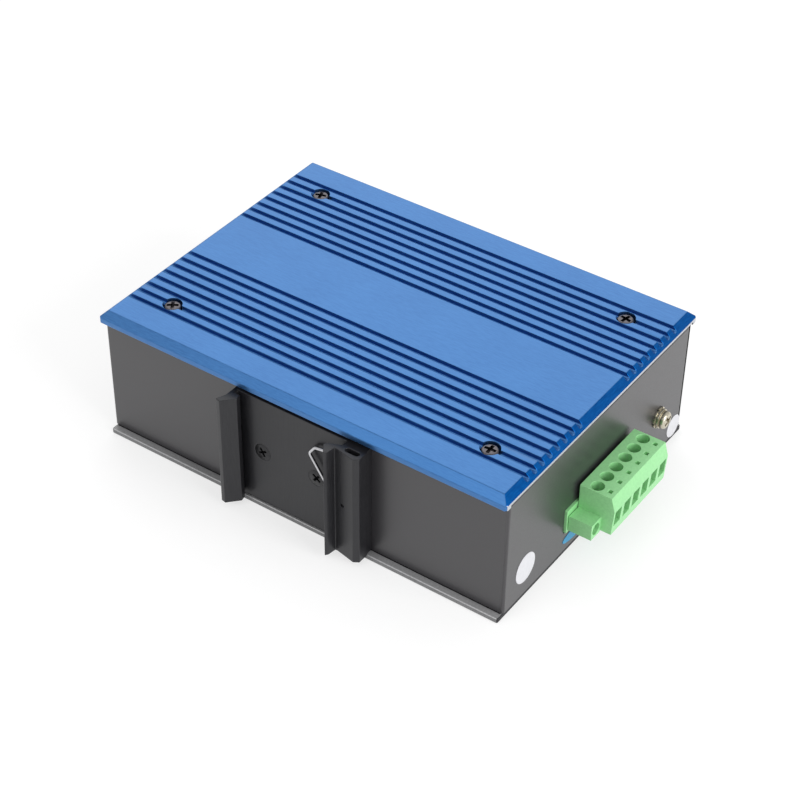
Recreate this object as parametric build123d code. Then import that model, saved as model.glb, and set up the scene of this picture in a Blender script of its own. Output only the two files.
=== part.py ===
from build123d import *
import os

# Industrial ethernet switch for a 35 mm DIN rail, lying on its base plate.
# X runs along the case towards the power terminal, -Y is the rail side, +Y the port side, Z is up.
# The origin is the middle of the base plate's underside. All sizes are in millimetres.

# How far a cut runs past the face that it opens
past = 1.0

# Case
case_length = 143.0
case_width = 104.0
case_height = 46.0
base_thickness = 1.7
base_corner_clip = 0.3
base_end_inset = 0.5
end_overhang = 0.5
side_overhang = 2.2
sheet_thickness = 1.2
corner_fold_radius = 1.0
flange_fold_radius = 0.7
flange_width = 9.0
wall_shadow_gap = 0.4
front_lap_length = 8.0
lap_gap = 0.05

# Finned cover
cover_thickness = 4.0
cover_chamfer = 2.2
cover_corner_clip = 0.7
end_rebate_height = 1.0
end_rebate_depth = 0.6
groove_count = 8
groove_pitch = 3.9
groove_width = 1.65
groove_depth = 1.5
groove_floor_bevel = 0.45
groove_start = 12.95

# Fasteners
screw_diameter = 3.0
hidden_flat_count = 10
thread_gap = 0.05
screw_hole_gap = 0.2
pan_head_diameter = 5.6
pan_head_height = 2.0
flat_head_diameter = 5.6
flat_head_gap = 0.05
counterbore_diameter = 7.0
counterbore_depth = 2.3
cover_screw_length = 8.0
post_inset_x = 15.5
post_inset_y = 15.6

# Board and its posts
lower_post_height = 6.3
board_thickness = 1.6
board_gap = 1.5
post_across_flats = 5.5
post_bore_depth = 8.0

# Rail clip
clip_base_thickness = 1.7
clip_bottom_gap = 0.2
clip_top_gap = 1.5
rail_centre_x = -1.9
rail_width = 35.0
rail_play = 0.2
clip_screw_spacing = 19.5
clip_screw_reach = 2.2
clip_screw_room = 2.0

# Clip jaws, each size measured from the face that the rail lies on or from the rail's edge
hook_slot_height = 1.4
hook_stem = 1.4
hook_reach = 2.4
hook_height = 7.1
hook_flat = 1.7
hook_nose = 2.0
hook_nose_drop = 3.4
hook_crown_fall = 0.4
hook_root_height = 3.4
hook_lip_bevel = 0.4
hook_lip_fall = 0.1
jaw_recess = 3.2
jaw_reach = 1.2
jaw_lip_height = 8.0
jaw_lip_width = 2.9
jaw_lip_flat = 2.2
jaw_lip_fall = 1.0
jaw_nose_height = 5.0
jaw_nose_bevel = 0.3
jaw_under_height = 3.8
jaw_root_height = 2.1
jaw_valley_height = 4.3
jaw_valley_start = 0.4
jaw_valley_width = 0.8
block_width = 7.6
block_height = 5.6
block_corner_run = 1.6
block_corner_rise = 1.0
block_foot_in = 0.4

# Rail spring, a wire whose places are measured from the clip's lower end and the rail's edge
spring_wire = 1.0
spring_slot_length = 4.6
spring_slot_width = 1.6
spring_slot_offset = 0.3
spring_slot_height = 2.91
spring_board_gap = 0.7
spring_floor_gap = 0.4
spring_leg_height = 20.0
spring_foot_reach = 3.7
spring_knee_reach = 0.2
spring_knee_height = 15.6
spring_apex_reach = 9.0
spring_apex_height = 29.1
spring_hook_run = 2.0
spring_hook_rise = 2.8
spring_end_run = 4.9
spring_end_rise = 0.8

# Power terminal
terminal_pitch = 5.08
terminal_ways = 6
terminal_y = 2.2
header_height = 8.2
header_depth = 12.0
header_wall = 1.1
header_back = 3.5
header_proud = 0.7
terminal_flange = 5.6
panel_cut_gap = 0.3
pin_width = 1.0
pin_height = 3.6
pin_tail = 3.2
pin_back = 1.6
pin_tip_inset = 2.0
pin_hole_gap = 0.15
plug_gap = 0.2
plug_top_height = 14.6
plug_bottom_height = 1.3
plug_depth = 10.4
plug_bevel_out = 1.3
plug_bevel_drop = 4.6
plug_foot_in = 0.6
tongue_length = 7.2
tongue_gap = 0.15
plug_flange_depth = 7.6
plug_flange_width = 5.0
plug_flange_height = 5.4
driver_hole_diameter = 4.0
driver_hole_back = 4.3
probe_hole = 1.3
probe_hole_back = 8.4
probe_hole_depth = 3.0
window_width = 3.6
window_height = 5.4
window_sill = 2.9
clamp_back = 1.8
clamp_length = 5.2
clamp_wall = 0.5
clamp_gap = 0.1
clamp_screw_diameter = 3.7
clamp_screw_sink = 3.2
slot_width = 0.6
slot_depth = 0.7
contact_wall = 0.3
contact_gap = 0.1
contact_tip_inset = 0.4
flange_screw_diameter = 2.5
flange_head_diameter = 3.4
flange_hole_diameter = 3.7
flange_head_sink = 3.6
flange_head_height = 1.5
flange_screw_length = 8.6
locking_bore_depth = 8.5

# Ground point
ground_inset = 17.7
ground_height = 16.8
tooth_washer_diameter = 7.0
tooth_washer_thickness = 0.6
tooth_count = 9
tooth_gap = 0.8
tooth_depth = 0.6
spring_washer_diameter = 6.2
spring_washer_thickness = 0.9
spring_washer_split = 0.5
spring_washer_slant = 20.0
ground_screw_length = 7.0

# Labels on the terminal end
label_thickness = 0.12
round_label_diameter = 9.8
round_label_inset = 12.7
round_label_height = 11.9
ground_label_diameter = 7.6
ground_label_inset = 6.6
ground_label_height = 5.9
oval_label_length = 18.0
oval_label_width = 4.2
oval_label_y = -9.9
oval_label_height = 5.8

# Port side
stack_count = 4
stack_pitch = 18.0
stack_post_gap = 6.75
stack_width = 16.0
stack_depth = 25.4
stack_height = 26.2
stack_proud = 0.4
shield_thickness = 0.25
port_width = 11.9
port_height = 8.4
port_depth = 15.5
port_spread = 12.8
latch_wide = 6.4
latch_wide_drop = 1.4
latch_narrow = 3.6
latch_narrow_drop = 2.6
contact_count = 8
contact_pitch = 1.02
contact_width = 0.45
contact_rise = 2.3
contact_inset = 2.0
contact_length = 9.0
port_light_width = 2.6
port_light_height = 1.5
port_light_length = 10.0
port_light_gap = 0.5
light_count = 4
light_pitch = 7.0
light_width = 3.0
light_height = 1.8
light_post_offset = 4.0
light_top_inset = 5.4
light_shoulder = 0.6
light_proud = 0.3
light_length = 6.5
lamp_size = 3.0
lamp_board_thickness = 1.2

# Parts on the board
chip_size = 23.0
chip_base_height = 1.3
chip_lid_inset = 1.6
chip_height = 2.2
chip_x = 4.0
chip_y = -4.0
pad_thickness = 0.6
heat_block_size = 26.0
heat_block_chamfer = 1.0
magnetics_length = 15.0
magnetics_width = 7.2
magnetics_height = 6.0
magnetics_gap_y = 3.5
choke_count = 3
choke_size = 12.5
choke_height = 6.5
choke_chamfer = 2.0
choke_pitch = 15.5
choke_post_gap = 13.75
choke_edge_gap = 2.0
capacitor_length = 18.0
capacitor_width = 8.5
capacitor_height = 14.5
capacitor_pitch = 12.0
capacitor_post_gap = 9.75
capacitor_edge_gap = 5.0
controller_size = 9.0
controller_height = 1.0
controller_pitch = 24.0
controller_chip_gap = 2.8
relay_length = 15.0
relay_width = 7.5
relay_height = 10.0
fuse_length = 10.0
fuse_width = 3.6
fuse_height = 3.0
pin_clearance = 3.0

# Places that follow from the sizes above
half_length = case_length / 2
half_width = case_width / 2
cover_underside = case_height - cover_thickness
end_face = half_length - end_overhang
base_end = end_face - base_end_inset
wall_face = half_width - side_overhang
post_x = half_length - post_inset_x
post_y = half_width - post_inset_y
ground_y = half_width - ground_inset
round_label_y = round_label_inset - half_width
ground_label_y = half_width - ground_label_inset
board_bottom = base_thickness + lower_post_height
board_top = board_bottom + board_thickness
board_end = end_face - sheet_thickness - board_gap
board_rear = -(wall_face - sheet_thickness - clip_screw_room - board_gap)
panel_back = wall_face - sheet_thickness
clip_face = -(wall_face + clip_base_thickness)
clip_bottom = base_thickness + clip_bottom_gap
clip_top = cover_underside - clip_top_gap
clip_middle = (clip_bottom + clip_top) / 2
rail_low = rail_centre_x - rail_width / 2
rail_high = rail_centre_x + rail_width / 2
terminal_length = terminal_ways * terminal_pitch
header_front = end_face + header_proud
header_top = board_top + header_height
plug_back = header_front + plug_gap
plug_top = board_top + plug_top_height
plug_bottom = board_top + plug_bottom_height
plug_front = plug_back + plug_depth
window_bottom = plug_bottom + window_sill
pin_level = board_top + pin_height
corners = [(sx * post_x, sy * post_y) for sx in (-1, 1) for sy in (-1, 1)]
way_places = [
    terminal_y + (i - (terminal_ways - 1) / 2) * terminal_pitch for i in range(terminal_ways)
]
first_stack_x = stack_post_gap - post_x + shield_thickness + stack_width / 2
stack_places = [first_stack_x + i * stack_pitch for i in range(stack_count)]
light_x = post_x - light_post_offset
top_light_height = cover_underside - light_top_inset
light_heights = [top_light_height - i * light_pitch for i in reversed(range(light_count))]
port_face = wall_face + stack_proud
port_levels = [
    board_top + shield_thickness + (stack_height - port_spread) / 2,
    board_top + shield_thickness + (stack_height + port_spread) / 2,
]


def box(x0, x1, y0, y1, z0, z1):
    """A block between two corners."""
    middle = ((x0 + x1) / 2, (y0 + y1) / 2, (z0 + z1) / 2)
    return Pos(*middle) * Box(x1 - x0, y1 - y0, z1 - z0)


def upright(diameter, z0, z1, x=0.0, y=0.0):
    """A round bar along Z."""
    return Pos(x, y, (z0 + z1) / 2) * Cylinder(diameter / 2, z1 - z0)


def lengthwise(diameter, x0, x1, y=0.0, z=0.0):
    """A round bar along X."""
    return Pos((x0 + x1) / 2, y, z) * Rot(0, 90, 0) * Cylinder(diameter / 2, x1 - x0)


def flatted(diameter, z0, z1, x=0.0, y=0.0):
    """A plain bar or bore along Z that lies hidden, such as a thread, its round drawn as flats."""
    return Pos(x, y, z0) * extrude(RegularPolygon(diameter / 2, hidden_flat_count), z1 - z0)


def flatted_lengthwise(diameter, x0, x1, y=0.0, z=0.0):
    """A hidden plain bar or bore along X."""
    return Pos(x0, y, z) * Rot(0, 90, 0) * flatted(diameter, 0, x1 - x0)


def flatted_crosswise(diameter, y0, y1, x=0.0, z=0.0):
    """A hidden plain bar or bore along Y."""
    return Pos(x, y1, z) * Rot(90, 0, 0) * flatted(diameter, 0, y1 - y0)


def outline_up(points, z0, z1):
    """A closed outline in XY, drawn up from z0 to z1."""
    face = make_face(Polyline(*points, close=True))
    return Pos(0, 0, z0) * extrude(face, z1 - z0, dir=(0, 0, 1))


def outline_across(points, y0, y1):
    """A closed outline of (x, z) points, drawn along Y from y0 to y1."""
    face = make_face(Polyline(*[(x, y0, z) for x, z in points], close=True))
    return extrude(face, y1 - y0, dir=(0, 1, 0))


def pan_screw(length):
    """A pan head screw with its seat at z = 0 and its shank down along -Z."""
    return upright(pan_head_diameter, 0, pan_head_height) + flatted(screw_diameter, -length, 0)


def flat_head(plate, gap=0.0):
    """The cone of a flat head as deep as the plate it is sunk in, its flat top at z = 0."""
    top = flat_head_diameter / 2 + gap
    bottom = screw_diameter / 2 + gap
    return Pos(0, 0, -plate / 2) * Cone(bottom, top, plate)


def flat_screw(plate, reach):
    """A flat head screw with its top at z = 0 that reaches past the plate it is sunk in."""
    return flat_head(plate) + flatted(screw_diameter, -plate - reach, -plate)


def plain_groove(y):
    """One groove along the whole cover, its floor eased into its sides, open at its top and both ends."""
    floor = case_height - groove_depth
    half = groove_width / 2
    outline = [
        (y - half, case_height + past),
        (y - half, floor + groove_floor_bevel),
        (y - half + groove_floor_bevel, floor),
        (y + half - groove_floor_bevel, floor),
        (y + half, floor + groove_floor_bevel),
        (y + half, case_height + past),
    ]
    face = make_face(Polyline(*[(0, py, pz) for py, pz in outline], close=True))
    return extrude(face, half_length + past, dir=(1, 0, 0), both=True)


def top_cover():
    """The finned cover: a bevelled extrusion with two sets of grooves and four sunk screw seats."""
    cover = box(-half_length, half_length, -half_width, half_width, cover_underside, case_height)
    cover = chamfer(cover.faces().sort_by(Axis.Z)[-1].edges(), cover_chamfer)
    plan = Rectangle(case_length, case_width)
    cover &= extrude(chamfer(plan.vertices(), cover_corner_clip), case_height)
    for side in (-1, 1):
        for i in range(groove_count):
            cover -= plain_groove(side * (groove_start + i * groove_pitch))
    reach = half_length - end_rebate_depth
    for side in (-1, 1):
        ends = sorted((side * reach, side * (half_length + past)))
        rebate_top = cover_underside + end_rebate_height
        cover -= box(*ends, -wall_face, wall_face, cover_underside - past, rebate_top)
    for x, y in corners:
        cover -= upright(counterbore_diameter, case_height - counterbore_depth, case_height + past, x, y)
        cover -= flatted(screw_diameter + 2 * screw_hole_gap, cover_underside - past, case_height, x, y)
    return cover


def bottom_cover():
    """The flat base plate, wider than the chassis and a little shorter, its screw holes sunk from below."""
    plate = box(-base_end, base_end, -half_width, half_width, 0, base_thickness)
    plate = chamfer(plate.edges().filter_by(Axis.Z), base_corner_clip)
    for x, y in corners:
        plate -= Pos(x, y, 0) * Rot(180, 0, 0) * flat_head(base_thickness, flat_head_gap)
    return plate


def folded_shell():
    """The outside of the folded sheet, with its ends rolled over at the top and bottom."""
    height = cover_underside - base_thickness
    middle = (cover_underside + base_thickness) / 2
    side = Plane.XZ * Pos(0, middle) * RectangleRounded(2 * end_face, height, flange_fold_radius)
    shell = extrude(side, wall_face, both=True)
    plan = Rectangle(2 * end_face, 4 * wall_face)
    plan = Pos(0, wall_face) * fillet(plan.vertices().group_by(Axis.Y)[0], corner_fold_radius)
    return shell & extrude(plan, case_height)


def chassis():
    """One folded sheet: the rear wall and both ends, whose edges turn in as flanges under the covers."""
    sheet = sheet_thickness
    body = folded_shell()
    body -= box(
        -end_face + sheet, end_face - sheet, -wall_face + sheet, wall_face + past,
        base_thickness + sheet, cover_underside - sheet,
    )
    open_x = end_face - flange_width
    body -= box(-open_x, open_x, -wall_face + sheet, wall_face + past, 0, case_height)
    lap_start = panel_back - front_lap_length - lap_gap
    body -= box(-end_face + sheet, end_face - sheet, lap_start, wall_face + past, 0, case_height)
    rear_reach = end_face - corner_fold_radius
    shadow_top = base_thickness + wall_shadow_gap
    body -= box(-rear_reach, rear_reach, -wall_face - past, -wall_face + sheet, 0, shadow_top)
    body -= box(-end_face - past, end_face + past, panel_back, wall_face + past, 0, case_height)
    screw_hole = screw_diameter + 2 * thread_gap
    for x in clip_screw_places():
        body -= flatted_crosswise(screw_hole, -wall_face - past, past - panel_back, x, clip_middle)
    cut = panel_cut_gap
    header_half = terminal_length / 2 + terminal_flange + cut
    body -= box(
        end_face - sheet - past, end_face + past, terminal_y - header_half, terminal_y + header_half,
        board_top - cut, header_top + cut,
    )
    hole_start = end_face - sheet - past
    body -= flatted_lengthwise(screw_hole, hole_start, end_face + past, ground_y, ground_height)
    return body


def front_panel():
    """The port side's sheet: a window for each pair of ports and each light, and a lap at each end."""
    inner_end = end_face - sheet_thickness - lap_gap
    low = base_thickness + lap_gap
    high = cover_underside - lap_gap
    panel = box(-end_face, end_face, panel_back, wall_face, low, high)
    panel = chamfer(panel.edges().filter_by(Axis.Z).group_by(Axis.Y)[-1], sheet_thickness / 3)
    for side in (-1, 1):
        ends = sorted((side * inner_end, side * (inner_end - sheet_thickness)))
        panel += box(*ends, panel_back - front_lap_length, panel_back, low, high)
    half = stack_width / 2 + shield_thickness + panel_cut_gap
    top = board_top + stack_height + 2 * shield_thickness + panel_cut_gap
    back = panel_back - past
    front = wall_face + past
    for x in stack_places:
        panel -= box(x - half, x + half, back, front, board_top - panel_cut_gap, top)
    wide = light_width / 2 + thread_gap
    tall = light_height / 2 + thread_gap
    for z in light_heights:
        panel -= box(light_x - wide, light_x + wide, back, front, z - tall, z + tall)
    return panel


def clip_screw_places():
    """Where the clip's two screws cross the rear wall."""
    middle = rail_centre_x + rail_play
    return [middle + side * clip_screw_spacing / 2 for side in (-1, 1)]


def hook_outline():
    """The fixed jaw seen along Z: a leaning stem whose ramped nose reaches over the rail's edge."""
    root = rail_low - rail_play
    nose = root + hook_reach
    crown = nose - hook_nose_drop
    face = clip_face
    under = face - hook_slot_height
    top = face - hook_height
    return [
        (root, face),
        (root, under),
        (nose - hook_lip_bevel, under - hook_lip_fall),
        (nose, under - hook_nose),
        (crown, top),
        (crown - hook_flat, top + hook_crown_fall),
        (root - hook_stem, face - hook_root_height),
        (root - hook_stem, face),
    ]


def jaw_outline():
    """The sprung side's block seen along Z, with the lip that the rail's other edge goes under."""
    tip = rail_high - jaw_reach
    lip_back = tip + jaw_lip_width
    valley = lip_back + jaw_valley_start
    wall = rail_high + jaw_recess
    face = clip_face
    far = wall + block_width
    return [
        (wall, face),
        (wall, face - jaw_root_height),
        (tip + jaw_nose_bevel, face - jaw_under_height),
        (tip, face - jaw_nose_height),
        (tip + jaw_lip_flat, face - jaw_lip_height),
        (lip_back, face - jaw_lip_height + jaw_lip_fall),
        (valley, face - jaw_valley_height),
        (valley + jaw_valley_width, face - jaw_valley_height),
        (far - block_corner_run, face - block_height),
        (far, face - block_height + block_corner_rise),
        (far, face - block_corner_rise),
        (far - block_foot_in, face),
    ]


def spring_slot_middle():
    """The middle of the spring's slot through the block, as x and y."""
    wall = rail_high + jaw_recess
    return wall + block_width / 2 + spring_slot_offset, clip_face - spring_slot_height


def din_clip():
    """The rail clip: one extruded length with a base, a fixed hook and the block with the lip."""
    left = rail_low - rail_play - hook_stem
    right = rail_high + jaw_recess + block_width - block_foot_in
    clip = box(left, right, clip_face, -wall_face, clip_bottom, clip_top)
    clip += outline_up(hook_outline(), clip_bottom, clip_top)
    clip += outline_up(jaw_outline(), clip_bottom, clip_top)
    x, y = spring_slot_middle()
    slot = SlotOverall(spring_slot_length, spring_slot_width)
    clip -= Pos(x, y, clip_bottom - past) * extrude(slot, case_height)
    for place in clip_screw_places():
        seat = flat_head(clip_base_thickness, flat_head_gap)
        clip -= Pos(place, clip_face, clip_middle) * Rot(90, 0, 0) * seat
    return clip


def clip_spring():
    """The steel wire: a leg in the slot, a turn under the block, and a bow over the rail's edge."""
    x, y = spring_slot_middle()
    wire = spring_wire
    low = spring_floor_gap + wire / 2
    near_wall = clip_face - spring_board_gap - wire / 2
    apex_x = rail_high - spring_apex_reach
    apex_z = clip_bottom + spring_apex_height
    hook_x = apex_x + spring_hook_run
    hook_z = apex_z + spring_hook_rise
    points = [
        (x, y, clip_bottom + spring_leg_height),
        (x, y, low),
        (rail_high - spring_foot_reach, near_wall, low),
        (rail_high + spring_knee_reach, near_wall, clip_bottom + spring_knee_height),
        (apex_x, near_wall, apex_z),
        (hook_x, near_wall, hook_z),
        (hook_x + spring_end_run, near_wall, hook_z + spring_end_rise),
    ]
    path = Polyline(*points)
    start = Plane(origin=points[0], z_dir=(0, 0, -1))
    return sweep(start * Circle(wire / 2), path=path, transition=Transition.RIGHT)


def clip_screws():
    """The two black flat head screws that hold the clip to the rear wall."""
    screw = Rot(90, 0, 0) * flat_screw(clip_base_thickness, clip_screw_reach)
    return [Pos(x, clip_face, clip_middle) * screw for x in clip_screw_places()]


def cover_screws():
    """The four pan head screws sunk in the finned cover."""
    seat = case_height - counterbore_depth
    return [Pos(x, y, seat) * pan_screw(cover_screw_length) for x, y in corners]


def base_screws():
    """The heads of the four screws flush with the base plate's underside."""
    head = Rot(180, 0, 0) * flat_head(base_thickness)
    return [Pos(x, y, 0) * head for x, y in corners]


def hexagon(z0, z1):
    """A hexagonal post along Z."""
    size = post_across_flats / 2
    return Pos(0, 0, z0) * extrude(RegularPolygon(size, 6, major_radius=False), z1 - z0)


def upper_posts():
    """The four long hexagonal posts from the board to the cover, each bored for a cover screw."""
    post = hexagon(board_top, cover_underside)
    bore_floor = cover_underside - post_bore_depth
    post -= flatted(screw_diameter + 2 * thread_gap, bore_floor, cover_underside + past)
    return [Pos(x, y, 0) * post for x, y in corners]


def lower_posts():
    """The four short hexagonal posts between the base plate and the board."""
    return [Pos(x, y, 0) * hexagon(base_thickness, board_bottom) for x, y in corners]


def main_board():
    """The circuit board, held between the posts, with a slot for each of the terminal's pins."""
    front = panel_back - board_gap
    board = box(-board_end, board_end, board_rear, front, board_bottom, board_top)
    half = pin_width / 2 + pin_hole_gap
    for y in way_places:
        board -= box(pin_bend_x() - half, pin_bend_x() + half, y - half, y + half, 0, case_height)
    return board


def pin_bend_x():
    """How far along X the terminal's pins turn down into the board."""
    return header_front - header_depth - pin_back


def terminal_header():
    """The green board header: a shroud open to the end, with a flange at each side."""
    half = terminal_length / 2
    back = header_front - header_depth
    header = box(
        back, header_front, terminal_y - half - terminal_flange, terminal_y + half + terminal_flange,
        board_top, header_top,
    )
    header -= box(
        back + header_back, header_front + past, terminal_y - half, terminal_y + half,
        board_top + header_wall, header_top - header_wall,
    )
    size = pin_width / 2 + thread_gap
    low = pin_level - size
    high = pin_level + size
    for y in way_places:
        header -= box(back - past, back + header_back + past, y - size, y + size, low, high)
    bore = flange_screw_diameter + 2 * thread_gap
    bore_floor = header_front - locking_bore_depth
    for y in flange_places():
        header -= flatted_lengthwise(bore, bore_floor, header_front + past, y, pin_level)
    return header


def flange_places():
    """The two locking screws' places along Y, beyond the outer ways."""
    reach = terminal_length / 2 + plug_flange_width / 2
    return [terminal_y - reach, terminal_y + reach]


def header_pins():
    """Six square pins, from the shroud back and down through the board."""
    half = pin_width / 2
    bend = pin_bend_x()
    tip = header_front - pin_tip_inset
    pins = []
    for y in way_places:
        pin = box(bend - half, tip, y - half, y + half, pin_level - half, pin_level + half)
        pin += box(bend - half, bend + half, y - half, y + half, board_top - pin_tail, pin_level)
        pins.append(pin)
    return pins


def plug_outline():
    """The plug's side view as (x, z) points: upright back, flat top, bevelled front."""
    return [
        (plug_back, plug_bottom),
        (plug_back, plug_top),
        (plug_front, plug_top),
        (plug_front + plug_bevel_out, plug_top - plug_bevel_drop),
        (plug_front + plug_bevel_out - plug_foot_in, plug_bottom),
    ]


def plug_flange(y):
    """One of the plug's two side blocks, drilled for its locking screw."""
    near = y - plug_flange_width / 2
    far = y + plug_flange_width / 2
    low = pin_level - plug_flange_height / 2
    block = box(plug_back, plug_back + plug_flange_depth, near, far, low, low + plug_flange_height)
    front = plug_back + plug_flange_depth
    seat = front - flange_head_sink - flange_head_height
    block -= lengthwise(flange_hole_diameter, seat, front + past, y, pin_level)
    bore = flange_screw_diameter + 2 * screw_hole_gap
    block -= flatted_lengthwise(bore, plug_back - past, front, y, pin_level)
    return block


def terminal_plug():
    """The green pluggable housing: six ways, each with a driver hole, a probe hole and a wire window."""
    half = terminal_length / 2
    plug = outline_across(plug_outline(), terminal_y - half, terminal_y + half)
    inner = half - tongue_gap
    tongue_low = board_top + header_wall + tongue_gap
    tongue_high = header_top - header_wall - tongue_gap
    tip = plug_back - tongue_length
    plug += box(tip, plug_back, terminal_y - inner, terminal_y + inner, tongue_low, tongue_high)
    for y in flange_places():
        plug += plug_flange(y)
    contact_half = pin_width / 2 + 2 * contact_gap + contact_wall
    clamp_start = plug_back + clamp_back - clamp_gap
    window_half = window_width / 2
    hole_floor = window_bottom + window_height - clamp_gap
    probe = plug_back + probe_hole_back
    side = probe_hole / 2
    probe_floor = plug_top - probe_hole_depth
    for y in way_places:
        plug -= box(
            clamp_start, plug_front + plug_bevel_out + past, y - window_half, y + window_half,
            window_bottom, window_bottom + window_height,
        )
        plug -= upright(driver_hole_diameter, hole_floor, plug_top + past, plug_back + driver_hole_back, y)
        plug -= box(probe - side, probe + side, y - side, y + side, probe_floor, plug_top + past)
        plug -= box(
            tip - past, clamp_start + past, y - contact_half, y + contact_half,
            pin_level - contact_half, pin_level + contact_half,
        )
    return plug


def wire_clamps():
    """Six steel cages that a screw draws up on the wire."""
    start = plug_back + clamp_back
    half = window_width / 2 - clamp_gap
    low = window_bottom + clamp_gap
    high = window_bottom + window_height - clamp_gap
    end = start + clamp_length
    wall = clamp_wall
    inner = half - wall
    cages = []
    for y in way_places:
        cage = box(start, end, y - half, y + half, low, high)
        cage -= box(start - past, end + past, y - inner, y + inner, low + wall, high - wall)
        cages.append(cage)
    return cages


def clamp_screws():
    """Six slotted terminal screws, sunk in the plug's driver holes and down on the cages."""
    top = plug_top - clamp_screw_sink
    foot = window_bottom + window_height - clamp_gap
    screw = flatted(clamp_screw_diameter, foot, top)
    half = clamp_screw_diameter / 2 + past
    screw -= box(-half, half, -slot_width / 2, slot_width / 2, top - slot_depth, top + past)
    return [Pos(plug_back + driver_hole_back, y, 0) * screw for y in way_places]


def plug_contacts():
    """Six sprung sleeves in the plug's tongue, each round one pin of the header and under its cage."""
    inner = pin_width / 2 + contact_gap
    outer = inner + contact_wall
    start = plug_back - tongue_length + contact_tip_inset
    end = plug_back + clamp_back - 2 * clamp_gap
    sleeves = []
    low = pin_level - inner
    high = pin_level + inner
    for y in way_places:
        sleeve = box(start, end, y - outer, y + outer, pin_level - outer, pin_level + outer)
        sleeve -= box(start - past, end + past, y - inner, y + inner, low, high)
        sleeves.append(sleeve)
    return sleeves


def locking_screws():
    """The two captive screws deep in the plug's flanges."""
    front = plug_back + plug_flange_depth - flange_head_sink
    seat = front - flange_head_height
    screw = flatted_lengthwise(flange_head_diameter, seat, front)
    screw += flatted_lengthwise(flange_screw_diameter, seat - flange_screw_length, seat)
    half = flange_head_diameter
    screw -= box(front - slot_depth, front + past, -half, half, -slot_width / 2, slot_width / 2)
    return [Pos(0, y, pin_level) * screw for y in flange_places()]


def washer_hole():
    """The hole through a washer, hidden by the screw's head."""
    return flatted(screw_diameter + 2 * screw_hole_gap, -spring_washer_thickness, spring_washer_thickness)


def tooth_washer():
    """The toothed washer that bites the end panel round the ground screw."""
    outer = tooth_washer_diameter / 2
    ring = Cylinder(outer, tooth_washer_thickness) - washer_hole()
    tooth = Pos(outer, 0, 0) * Box(2 * tooth_depth, tooth_gap, tooth_washer_thickness + past)
    for i in range(tooth_count):
        ring -= Rot(0, 0, i * 360 / tooth_count) * tooth
    return Pos(end_face + tooth_washer_thickness / 2, ground_y, ground_height) * Rot(0, 90, 0) * ring


def spring_washer():
    """The split spring washer under the ground screw's head."""
    outer = spring_washer_diameter / 2
    ring = Cylinder(outer, spring_washer_thickness) - washer_hole()
    split = Box(spring_washer_split, spring_washer_diameter, 3 * spring_washer_thickness)
    ring -= Pos(0, outer, 0) * Rot(0, spring_washer_slant, 0) * split
    middle = end_face + tooth_washer_thickness + spring_washer_thickness / 2
    return Pos(middle, ground_y, ground_height) * Rot(0, 90, 0) * ring


def ground_screw():
    """The pan head screw of the ground point."""
    seat = end_face + tooth_washer_thickness + spring_washer_thickness
    return Pos(seat, ground_y, ground_height) * Rot(0, 90, 0) * pan_screw(ground_screw_length)


def end_label(shape, y, height):
    """A thin label lying flat on the terminal end of the chassis."""
    plate = extrude(shape, label_thickness)
    return Pos(end_face, y, height) * Rot(0, 90, 0) * plate


def port_cavity(x, level, flip):
    """The space for one plug, with the stepped notch for its latch above it or below it."""
    front = port_face + past
    back = port_face - port_depth
    half = port_height / 2
    space = box(x - port_width / 2, x + port_width / 2, back, front, level - half, level + half)
    for width, drop in ((latch_wide, latch_wide_drop), (latch_narrow, latch_narrow_drop)):
        levels = sorted((level, level + flip * (half + drop)))
        space += box(x - width / 2, x + width / 2, back, front, *levels)
    return space


def light_pocket_places(x):
    """The four light guides of one pair of ports, as (x, z) middles between and beside the cavities."""
    reach = port_width / 2 - port_light_width / 2
    offset = port_height / 2 + port_light_height / 2 + port_light_gap
    places = []
    for side in (-1, 1):
        places.append((x + side * reach, port_levels[0] + offset))
        places.append((x + side * reach, port_levels[1] - offset))
    return places


def port_stack(x):
    """One moulded pair of ports, one above the other, with the latches facing outwards."""
    low = board_top + shield_thickness
    half = stack_width / 2
    housing = box(x - half, x + half, port_face - stack_depth, port_face, low, low + stack_height)
    for level, flip in zip(port_levels, (-1, 1)):
        housing -= port_cavity(x, level, flip)
    for px, pz in light_pocket_places(x):
        width = port_light_width / 2 + thread_gap
        height = port_light_height / 2 + thread_gap
        back = port_face - port_light_length
        housing -= box(px - width, px + width, back, port_face + past, pz - height, pz + height)
    return housing


def port_shields():
    """The thin steel shells round the pairs of ports, open at the front."""
    skin = shield_thickness
    half = stack_width / 2
    low = board_top + skin
    shells = []
    for x in stack_places:
        shell = box(
            x - half - skin, x + half + skin, port_face - stack_depth - skin, port_face,
            low - skin, low + stack_height + skin,
        )
        back = port_face - stack_depth
        shell -= box(x - half, x + half, back, port_face + past, low, low + stack_height)
        shells.append(shell)
    return shells


def port_contacts():
    """The spring wires of the ports, each sloping in from the cavity's wall towards the back."""
    wires = []
    start = port_face - contact_inset
    end = start - contact_length
    wire = contact_width
    for x in stack_places:
        for level, flip in zip(port_levels, (-1, 1)):
            floor = level - flip * port_height / 2
            outline = [
                (start, floor),
                (start, floor + flip * wire),
                (end, floor + flip * contact_rise),
                (end, floor + flip * (contact_rise - wire)),
            ]
            for i in range(contact_count):
                place = x + (i - (contact_count - 1) / 2) * contact_pitch - wire / 2
                face = make_face(Polyline(*[(place, y, z) for y, z in outline], close=True))
                wires.append(extrude(face, wire, dir=(1, 0, 0)))
    return wires


def port_lights():
    """The clear light guides set in the fronts of the port housings."""
    guides = []
    width = port_light_width / 2
    height = port_light_height / 2
    back = port_face - port_light_length
    for x in stack_places:
        for px, pz in light_pocket_places(x):
            guides.append(box(px - width, px + width, back, port_face, pz - height, pz + height))
    return guides


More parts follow.
